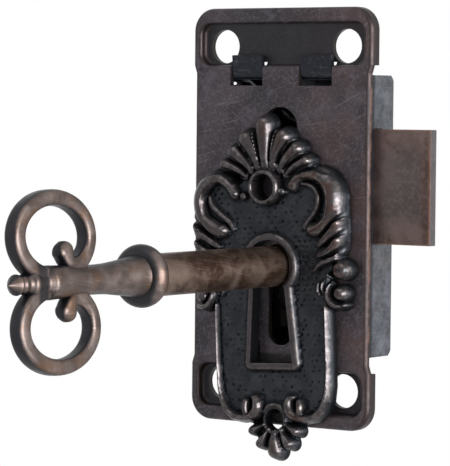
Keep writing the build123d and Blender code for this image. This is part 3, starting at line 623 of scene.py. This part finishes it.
class Finish:
    """A node material. Places are Object coordinates in millimetres, so a pattern has its real size. Its
    colour starts as a mix of two and has others laid over it."""

    def __init__(self, name):
        self.material = bpy.data.materials.new(name)
        self.material.use_nodes = True
        self.tree = self.material.node_tree
        self.tree.nodes.clear()
        self.colour = None
        self.shader = self.tree.nodes.new("ShaderNodeBsdfPrincipled")
        output = self.tree.nodes.new("ShaderNodeOutputMaterial")
        self.tree.links.new(self.shader.outputs[0], output.inputs[0])
        place = self.tree.nodes.new("ShaderNodeTexCoord")
        self.place = self.mapped(place.outputs["Object"], scale=(1 / MM, 1 / MM, 1 / MM))
        self.x, self.y, self.z = self.parts(self.place)
        self.normal_x, self.normal_y, _ = self.parts(place.outputs["Normal"])

    def put(self, socket, value):
        """Links a socket, or sets its plain value."""
        if isinstance(value, bpy.types.NodeSocket):
            self.tree.links.new(value, socket)
        else:
            socket.default_value = value

    def parts(self, vector):
        """The three values of a vector."""
        node = self.tree.nodes.new("ShaderNodeSeparateXYZ")
        self.put(node.inputs[0], vector)
        return node.outputs

    def mapped(self, vector, scale=(1, 1, 1), turn=(0, 0, 0)):
        """A place scaled and turned, by degrees about each axis."""
        node = self.tree.nodes.new("ShaderNodeMapping")
        self.put(node.inputs["Vector"], vector)
        node.inputs["Scale"].default_value = scale
        node.inputs["Rotation"].default_value = [math.radians(degrees) for degrees in turn]
        return node.outputs[0]

    def maths(self, way, first, second=0.0):
        """One operation on one or two values, such as SQRT or ADD."""
        node = self.tree.nodes.new("ShaderNodeMath")
        node.operation = way
        self.put(node.inputs[0], first)
        self.put(node.inputs[1], second)
        return node.outputs[0]

    def times(self, first, second):
        """Product of two values."""
        return self.maths("MULTIPLY", first, second)

    def most(self, first, second):
        """The larger of two values."""
        return self.maths("MAXIMUM", first, second)

    def distance(self, value, centre=0.0):
        """How far a value lies from a centre, either way."""
        return self.maths("ABSOLUTE", self.maths("SUBTRACT", value, centre))

    def noise(self, scale, detail=4.0, rough=0.55, twist=0.0, place=None):
        """Cloudy value between 0 and 1 whose blots are about one over scale wide, in millimetres."""
        node = self.tree.nodes.new("ShaderNodeTexNoise")
        self.put(node.inputs["Vector"], self.place if place is None else place)
        node.inputs["Scale"].default_value = scale
        node.inputs["Detail"].default_value = detail
        node.inputs["Roughness"].default_value = rough
        node.inputs["Distortion"].default_value = twist
        return node.outputs["Fac"]

    def span(self, value, low, high, out_low=0.0, out_high=1.0):
        """Value stretched smoothly from low..high to out_low..out_high and held there."""
        node = self.tree.nodes.new("ShaderNodeMapRange")
        node.interpolation_type = "SMOOTHSTEP"
        self.put(node.inputs["Value"], value)
        node.inputs["From Min"].default_value = low
        node.inputs["From Max"].default_value = high
        node.inputs["To Min"].default_value = out_low
        node.inputs["To Max"].default_value = out_high
        return node.outputs[0]

    def mix(self, share, first, second):
        """Sets the colour: the first one where share is 0 and the second where it is 1."""
        node = self.tree.nodes.new("ShaderNodeMix")
        node.data_type = "RGBA"
        self.put(node.inputs["Factor"], share)
        for socket, colour in ((node.inputs[6], first), (node.inputs[7], second)):
            self.put(socket, colour if isinstance(colour, bpy.types.NodeSocket) else (*colour, 1.0))
        self.colour = node.outputs[2]

    def lay(self, colour, share, strength=1.0):
        """Lays a colour over the one so far, by share times strength."""
        self.mix(share if strength == 1.0 else self.times(share, strength), self.colour, colour)

    def attribute(self, name):
        """A value stored on the mesh's points."""
        node = self.tree.nodes.new("ShaderNodeAttribute")
        node.attribute_name = name
        return node.outputs["Fac"]

    def scratches(self, angle, length, width, share, axes=(0, 1, 0)):
        """Fine lines: noise stretched length by width, in millimetres, bent slowly and cut at its peaks."""
        bend = self.times(self.noise(0.05, detail=1.0), 9.0)
        turned = self.mapped(self.place, turn=[angle * axis for axis in axes])
        shift = self.tree.nodes.new("ShaderNodeCombineXYZ")
        self.put(shift.inputs[2], bend)
        moved = self.tree.nodes.new("ShaderNodeVectorMath")
        moved.operation = "ADD"
        self.put(moved.inputs[0], turned)
        self.put(moved.inputs[1], shift.outputs[0])
        stretched = self.mapped(moved.outputs[0], scale=(1 / length, 1 / length, 1 / width))
        lines = self.noise(1.0, detail=2.0, rough=0.6, place=stretched)
        return self.span(lines, share, share + 0.09)

    def done(self, rough, metal, bumps, sheen=0.4):
        """Joins the finish to the shader. bumps are (height, strength, millimetres)."""
        self.put(self.shader.inputs["Base Color"], self.colour)
        self.put(self.shader.inputs["Roughness"], rough)
        self.put(self.shader.inputs["Metallic"], metal)
        self.put(self.shader.inputs["Specular IOR Level"], sheen)
        socket = self.shader.inputs["Normal"]
        for height, strength, deep in reversed(bumps):
            node = self.tree.nodes.new("ShaderNodeBump")
            node.inputs["Strength"].default_value = strength
            node.inputs["Distance"].default_value = deep * MM
            self.put(node.inputs["Height"], height)
            self.put(socket, node.outputs[0])
            socket = node.inputs["Normal"]
        return self.material


def plate_finish():
    """Bronzed plate: purple-brown clouds, darker at the top's middle and redder to the right, black where
    it is sunk, with painted shade above the foot of the escutcheon's keyhole, fine bent scratches and
    copper at the waist's edges."""
    plate = Finish("bronzed_plate")
    from_middle = plate.distance(plate.x)
    cloud = plate.noise(0.16, detail=5, twist=0.6)
    plate.mix(plate.span(cloud, 0.35, 0.7), (0.030, 0.027, 0.033), (0.062, 0.052, 0.059))
    shade = plate.times(plate.span(from_middle, 11, 3), plate.span(plate.z, 6, 18))
    plate.lay((0.022, 0.022, 0.027), shade, 0.45)
    red = plate.times(plate.span(plate.x, -4, 15), plate.span(plate.noise(0.1, detail=3), 0.35, 0.65))
    plate.lay((0.085, 0.046, 0.042), red, 0.6)
    fine = plate.noise(2.2, detail=3)
    plate.lay((0.095, 0.082, 0.085), plate.span(fine, 0.45, 0.7, 0, 0.6))
    blots = plate.span(plate.noise(0.45, detail=5, twist=0.8), 0.5, 0.62)
    patches = plate.times(blots, plate.span(plate.noise(0.13, detail=2), 0.42, 0.6))
    plate.lay((0.085, 0.075, 0.095), patches, 0.45)
    dark = plate.span(plate.noise(0.3, detail=5, twist=0.5), 0.5, 0.7)
    plate.lay((0.030, 0.024, 0.027), dark, 0.5)
    # Painted shade: the plate turns black in a strip just above the foot of the escutcheon's keyhole
    painted_shade_strip = plate.times(plate.span(plate.z, PAINTED_SHADE_TOP, PAINTED_SHADE_TOP - 0.5), plate.span(from_middle, 5.5, 4.5))
    plate.lay((0.012, 0.011, 0.012), painted_shade_strip, 0.9)
    lines = plate.most(plate.scratches(20, 7, 0.16, 0.62), plate.scratches(-35, 9, 0.13, 0.64))
    lines = plate.most(lines, plate.scratches(70, 5, 0.12, 0.65))
    plate.lay((0.19, 0.17, 0.17), lines, 0.4)
    sunk = plate.times(plate.span(plate.y, -0.55, -0.1), plate.span(plate.normal_y, 0.6, 0.2))
    plate.lay((0.017, 0.017, 0.020), sunk, 0.82)
    plate.lay((0.020, 0.014, 0.013), plate.span(plate.distance(plate.normal_x), 0.06, 0.4), 0.85)
    edge = plate.span(from_middle, PLATE_WAIST - 0.08, PLATE_WAIST)
    along_waist = plate.span(plate.distance(plate.z), 21.5, 20.5)
    rubbed = plate.times(plate.times(edge, along_waist), plate.span(plate.noise(0.7), 0.35, 0.6))
    plate.lay((0.16, 0.085, 0.06), rubbed, 0.45)
    rough = plate.span(plate.noise(0.5, detail=4), 0.3, 0.7, 0.38, 0.54)
    return plate.done(rough, 0.75, [(fine, 0.25, 0.03), (lines, 0.2, 0.02)])


def case_finish():
    """Blue-grey zinc on folded sheet: mottled, with faint long rolling lines, its tabs in front of the
    plate black with pale marks."""
    case = Finish("zinc_case")
    cloud = case.noise(0.35, detail=5, twist=0.4)
    case.mix(case.span(cloud, 0.35, 0.68), (0.048, 0.052, 0.063), (0.100, 0.107, 0.122))
    case.lay((0.10, 0.085, 0.08), case.span(case.noise(0.12, detail=3), 0.5, 0.75, 0, 0.5))
    tabs = case.span(case.y, 1.2, 0.4)
    case.lay((0.013, 0.015, 0.020), tabs, 0.93)
    lines = case.most(case.scratches(8, 8, 0.14, 0.6, (1, 0, 0)), case.scratches(-75, 6, 0.12, 0.64))
    case.lay((0.26, 0.27, 0.29), lines, 0.16)
    marks = case.times(case.span(case.noise(1.1, detail=5, twist=1.5), 0.56, 0.68), tabs)
    case.lay((0.060, 0.064, 0.078), marks, 0.6)
    speckle = case.span(case.noise(1.8, detail=4), 0.42, 0.66, 0, 0.45)
    case.lay((0.125, 0.130, 0.143), case.times(speckle, case.span(case.y, 0.4, 1.2)))
    rough = case.span(cloud, 0.3, 0.7, 0.3, 0.48)
    return case.done(rough, 0.85, [(case.noise(3.0), 0.2, 0.02), (lines, 0.2, 0.015)])


def bolt_finish():
    """Brown patina on the bolt, grey where it is rubbed in the middle, darker brown near its end, its end
    face grey and its outer edges bare copper."""
    bolt = Finish("bronzed_bolt")
    from_middle = bolt.distance(bolt.z, BOLT_UP)
    cloud = bolt.noise(0.28, detail=5, twist=0.5)
    bolt.mix(bolt.span(cloud, 0.35, 0.7), (0.070, 0.047, 0.042), (0.125, 0.088, 0.082))
    rubbed = bolt.times(bolt.span(from_middle, 7.0, 3.0), bolt.span(bolt.distance(bolt.x, 19.5), 4.5, 2.0))
    bolt.lay((0.060, 0.060, 0.064), rubbed, 0.5)
    band = bolt.times(bolt.span(bolt.x, 22.8, 23.9), bolt.span(bolt.noise(0.6, detail=3), 0.3, 0.6))
    bolt.lay((0.055, 0.030, 0.023), band, 0.7)
    bolt.lay((0.070, 0.072, 0.082), bolt.span(bolt.x, BOLT_END - 0.04, BOLT_END), 0.8)
    near_end = bolt.span(bolt.x, BOLT_END - 0.45, BOLT_END - 0.08)
    near_side = bolt.span(from_middle, BOLT_HALF - 0.3, BOLT_HALF - 0.02)
    edge = bolt.times(bolt.most(near_end, near_side), bolt.span(bolt.y, 1.1, 0.9))
    bare = bolt.times(bolt.span(bolt.noise(0.9), 0.3, 0.55), bolt.span(bolt.x, 13, 15))
    bolt.lay((0.26, 0.14, 0.10), bolt.times(edge, bare), 0.6)
    lines = bolt.most(bolt.scratches(5, 8, 0.14, 0.6), bolt.scratches(50, 5, 0.12, 0.65))
    bolt.lay((0.22, 0.18, 0.16), lines, 0.14)
    bolt.lay((0.135, 0.105, 0.098), bolt.span(bolt.noise(1.7, detail=4), 0.45, 0.68, 0, 0.4))
    rough = bolt.span(cloud, 0.3, 0.7, 0.32, 0.46)
    return bolt.done(rough, 0.8, [(bolt.noise(2.5), 0.2, 0.02), (lines, 0.2, 0.015)])


def casting_finish():
    """Blackened casting: near black ground, brown metal on raised flanks, bright grey where crests are
    rubbed, its hollows and outer walls black."""
    cast = Finish("blackened_casting")
    worn, raised = cast.attribute("worn"), cast.attribute("raised")
    cast.mix(cast.span(cast.noise(0.5, detail=5), 0.35, 0.7), (0.017, 0.019, 0.022), (0.030, 0.032, 0.036))
    high = cast.times(cast.span(raised, 0.1, 0.5), cast.span(cast.noise(0.9, detail=4), 0.2, 0.5))
    cast.lay((0.048, 0.041, 0.043), high, 0.9)
    patchy = cast.times(cast.span(cast.noise(0.45, detail=3), 0.35, 0.6), cast.span(cast.x, -5, 2, 0.2, 1))
    cast.lay((0.050, 0.023, 0.015), cast.times(cast.span(raised, 0.7, 0.95), patchy), 0.7)
    crest = cast.times(cast.span(worn, 0.7, 1.0), cast.span(cast.noise(1.6, detail=3), 0.4, 0.65))
    cast.lay((0.15, 0.135, 0.13), crest, 0.4)
    cast.lay((0.008, 0.009, 0.012), cast.span(worn, 0.45, 0.1), 0.85)
    cast.lay((0.010, 0.011, 0.013), cast.span(cast.distance(cast.normal_y), 0.25, 0.05), 0.85)
    rough = cast.span(raised, 0.1, 0.7, 0.40, 0.27)
    return cast.done(rough, 0.85, [(cast.noise(4.0, detail=3), 0.25, 0.03)])


def bow_finish():
    """Satin grey-tan casting of the handle, with painted shade on its edges, tops and hollows, wherever a
    face turns away from the sides, and a band of painted shade where the stem meets the rings."""
    bow = Finish("satin_handle")
    cloud = bow.noise(0.4, detail=5, twist=0.5)
    bow.mix(bow.span(cloud, 0.35, 0.68), (0.076, 0.057, 0.051), (0.124, 0.098, 0.090))
    bow.lay((0.105, 0.062, 0.040), bow.span(bow.noise(0.33, detail=3), 0.5, 0.66, 0, 0.75))
    pits = bow.noise(3.5, detail=4)
    bow.lay((0.06, 0.05, 0.047), bow.span(pits, 0.56, 0.75, 0, 0.5))
    bow.lay((0.26, 0.22, 0.20), bow.scratches(10, 4, 0.12, 0.6, (1, 0, 0)), 0.3)
    # Painted shade: faces that turn away from the sides, such as the rings' rims and the stem's top and
    # bottom, are darkened, with ragged bounds
    ragged = bow.times(bow.maths("SUBTRACT", bow.noise(0.8, detail=4), 0.5), 0.5)
    side_facing = bow.maths("ADD", bow.distance(bow.normal_x), ragged)
    bow.lay((0.028, 0.027, 0.031), bow.span(side_facing, 0.75, 0.3))
    # Painted shade: a dark band round the stem where it meets the rings, kept near the key's axis
    from_shade_band = bow.maths("ADD", bow.distance(bow.y, -57.8), bow.times(bow.noise(1.2, detail=3), 0.8))
    by_stem = bow.span(bow.distance(bow.z, KEY_UP), 3.2, 2.3)
    bow.lay((0.02, 0.019, 0.022), bow.times(bow.span(from_shade_band, 1.7, 1.0), by_stem), 0.9)
    return bow.done(bow.span(cloud, 0.3, 0.7, 0.36, 0.5), 0.9, [(pits, 0.3, 0.03)])


def barrel_finish():
    """Brown patina on the key's tube: mottled, with paler spots and fine lines round it."""
    barrel = Finish("bronzed_barrel")
    cloud = barrel.noise(0.22, detail=6, twist=1.0)
    barrel.mix(barrel.span(cloud, 0.36, 0.66), (0.052, 0.028, 0.019), (0.125, 0.090, 0.072))
    spots = barrel.noise(1.6, detail=4)
    barrel.lay((0.165, 0.122, 0.097), barrel.span(spots, 0.5, 0.72, 0, 0.5))
    barrel.lay((0.28, 0.21, 0.17), barrel.scratches(3, 9, 0.15, 0.58, (1, 0, 0)), 0.35)
    return barrel.done(barrel.span(cloud, 0.3, 0.7, 0.32, 0.46), 0.85, [(spots, 0.25, 0.02)])


def turned_finish(name, pale, dark, centre, shine=0.95):
    """Turned steel: rings of tool marks about a centre, a sine of the distance from it, over cloudy grey."""
    turned = Finish(name)
    across = turned.maths("SUBTRACT", turned.x, centre[0])
    up = turned.maths("SUBTRACT", turned.z, centre[1])
    away = turned.maths("SQRT", turned.maths("ADD", turned.times(across, across), turned.times(up, up)))
    rings = turned.maths("SINE", turned.times(away, 42.0))
    cloud = turned.noise(0.8, detail=5)
    turned.mix(turned.span(cloud, 0.3, 0.7), dark, pale)
    turned.lay(pale, turned.span(rings, 0.2, 1.0, 0, 0.25))
    rough = turned.span(cloud, 0.3, 0.7, 1.23 - shine, 1.37 - shine)
    return turned.done(rough, shine, [(rings, 0.12, 0.01)], sheen=0.5 * shine)


def spring_finish():
    """Tempered strip: blue-grey with straw patches and lines along its length."""
    strip = Finish("tempered_spring")
    cloud = strip.noise(0.5, detail=4)
    strip.mix(strip.span(cloud, 0.35, 0.65), (0.055, 0.060, 0.078), (0.11, 0.092, 0.066))
    lines = strip.scratches(0, 6, 0.1, 0.58)
    strip.lay((0.24, 0.24, 0.26), lines, 0.25)
    return strip.done(strip.span(cloud, 0.3, 0.7, 0.25, 0.38), 0.95, [(lines, 0.15, 0.01)], sheen=0.5)


def dress(node, material):
    """Gives a frame node its finish in every slot."""
    slots = nodes[node].material_slots
    if not slots:
        nodes[node].data.materials.append(material)
    for slot in slots:
        slot.material = material


def show(name, mesh, material):
    """Puts a casting into the scene: smooth but for its sharp edges, in its finish."""
    piece = bpy.data.objects.new(name, mesh)
    bpy.context.scene.collection.objects.link(piece)
    mesh.shade_smooth()
    mesh.set_sharp_from_angle(angle=SHARP)
    mesh.materials.append(material)
    return piece


STEEL = ((0.42, 0.42, 0.43), (0.24, 0.24, 0.25))
on_guide = turned_finish("turned_guide", *STEEL, GUIDE)
on_pivot = turned_finish("turned_pivot", *STEEL, (0.0, KEY_UP))
# The key's bit is painted near black: painted shade for its place inside the closed case
bit_shade_finish = turned_finish("bit_painted_black_for_shade", (0.012, 0.010, 0.009), (0.006, 0.005, 0.005), (0.0, KEY_UP), shine=0.35)
dress("mounting_plate", plate_finish())
dress("rear_case", case_finish())
dress("bolt", bolt_finish())
dress("key_barrel", barrel_finish())
dress("key_bit", bit_shade_finish)
dress("guide_stud", on_guide)
dress("guide_washer", on_guide)
dress("drill_pin", on_pivot)
dress("front_ward", on_pivot)
dress("rear_ward", on_pivot)
dress("spring_rivet", turned_finish("turned_rivet", (0.40, 0.41, 0.43), (0.2, 0.21, 0.23), RIVET))
dress("detent_spring", spring_finish())

handle = show("key_handle_casting", cast_handle(), bow_finish())
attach(handle, "key")
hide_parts("key_handle")

casting = show("escutcheon_casting", cast_escutcheon(), casting_finish())
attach(casting, "escutcheon")
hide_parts("escutcheon")


def bright_ground(tree, output, plain, pale):
    """Joins pale for camera, glossy and transmission rays, and plain for light that falls on the object."""
    path = tree.nodes.new("ShaderNodeLightPath")
    seen = path.outputs["Is Camera Ray"]
    for other in ("Is Glossy Ray", "Is Transmission Ray"):
        join = tree.nodes.new("ShaderNodeMath")
        join.operation = "MAXIMUM"
        tree.links.new(seen, join.inputs[0])
        tree.links.new(path.outputs[other], join.inputs[1])
        seen = join.outputs[0]
    mix = tree.nodes.new("ShaderNodeMixShader")
    tree.links.new(seen, mix.inputs[0])
    tree.links.new(plain.outputs[0], mix.inputs[1])
    tree.links.new(pale.outputs[0], mix.inputs[2])
    tree.links.new(mix.outputs[0], output.inputs[0])


def light(tree, kind, colour, strength=None):
    """A node that gives a colour, as Background, Emission or Diffuse, with a strength where it has one."""
    node = tree.nodes.new(kind)
    node.inputs["Color"].default_value = (*colour, 1)
    if strength is not None:
        node.inputs["Strength"].default_value = strength
    return node


WHITE = (1, 1, 1)
FLOOR_UP = -0.16
FLOOR_HALF = 9

world = bpy.data.worlds.new("studio")
world.use_nodes = True
sky = world.node_tree
sky.nodes.clear()
fill = light(sky, "ShaderNodeBackground", (0.92, 0.95, 1.0), 0.3)
white = light(sky, "ShaderNodeBackground", WHITE, 1.0)
bright_ground(sky, sky.nodes.new("ShaderNodeOutputWorld"), fill, white)
bpy.context.scene.world = world

floor_finish = bpy.data.materials.new("pale_floor")
floor_finish.use_nodes = True
ground = floor_finish.node_tree
ground.nodes.clear()
matt = light(ground, "ShaderNodeBsdfDiffuse", (0.86, 0.86, 0.86))
glow = light(ground, "ShaderNodeEmission", WHITE, 1.0)
bright_ground(ground, ground.nodes.new("ShaderNodeOutputMaterial"), matt, glow)
corners = [(x * FLOOR_HALF, y * FLOOR_HALF, FLOOR_UP) for x, y in ((-1, -1), (1, -1), (1, 1), (-1, 1))]
floor_mesh = make_mesh("floor", np.array(corners), np.array([[0, 1, 2, 3]]))
floor_mesh.materials.append(floor_finish)
floor = bpy.data.objects.new("floor", floor_mesh)
bpy.context.scene.collection.objects.link(floor)


# Lamps face this place; each has its azimuth, elevation, distance, size and radiance
LIT_PLACE = Vector((0.0, -0.02, -0.003))


def direction(azimuth, elevation):
    """Unit vector from the lock to a place round it: azimuth 0 before it, growing to the right."""
    around, rise = math.radians(azimuth), math.radians(elevation)
    return Vector((math.sin(around) * math.cos(rise), -math.cos(around) * math.cos(rise), math.sin(rise)))


def softbox(name, azimuth, elevation, distance, size, radiance):
    """Square lamp facing the lock, whose watts give its face the radiance: radiance * pi * area."""
    lamp = bpy.data.lights.new(name, "AREA")
    lamp.shape = "SQUARE"
    lamp.size = size
    lamp.energy = radiance * math.pi * size**2
    holder = bpy.data.objects.new(name, lamp)
    out = direction(azimuth, elevation)
    holder.location = out * distance + LIT_PLACE
    holder.rotation_mode = "QUATERNION"
    holder.rotation_quaternion = out.to_track_quat("Z", "Y")
    bpy.context.scene.collection.objects.link(holder)


softbox("key_lamp", 78, -8, 0.6, 0.6, 16.0)
softbox("top_lamp", 10, 62, 0.8, 0.5, 1.6)
softbox("left_lamp", -50, 15, 0.9, 0.4, 0.55)

# Camera: place, direction, roll and lens fitted to points of the plate, bolt, case and key in the photograph
PHOTO_HEIGHT_PIXELS = 466
LENS_PIXELS = 2786
SENSOR = 36
CAMERA_PLACE = (0.2288, -0.3411, 0.0161)
CAMERA_AZIMUTH = 35.06
CAMERA_ELEVATION = 2.59
CAMERA_ROLL = math.radians(0.55)

camera_data = bpy.data.cameras.new("camera")
camera_data.lens = LENS_PIXELS * SENSOR / PHOTO_HEIGHT_PIXELS
camera_data.sensor_width = SENSOR
camera_data.clip_start = 0.01
camera_data.clip_end = 50
ahead = -direction(CAMERA_AZIMUTH, CAMERA_ELEVATION)
level = direction(CAMERA_AZIMUTH + 90, 0)
upright = level.cross(ahead)
right = math.cos(CAMERA_ROLL) * level + math.sin(CAMERA_ROLL) * upright
upward = math.cos(CAMERA_ROLL) * upright - math.sin(CAMERA_ROLL) * level
camera = bpy.data.objects.new("camera", camera_data)
axes = Matrix((right, upward, -ahead)).transposed().to_4x4()
camera.matrix_world = Matrix.Translation(CAMERA_PLACE) @ axes
bpy.context.scene.collection.objects.link(camera)
bpy.context.scene.camera = camera
bpy.context.scene.view_settings.view_transform = "Standard"
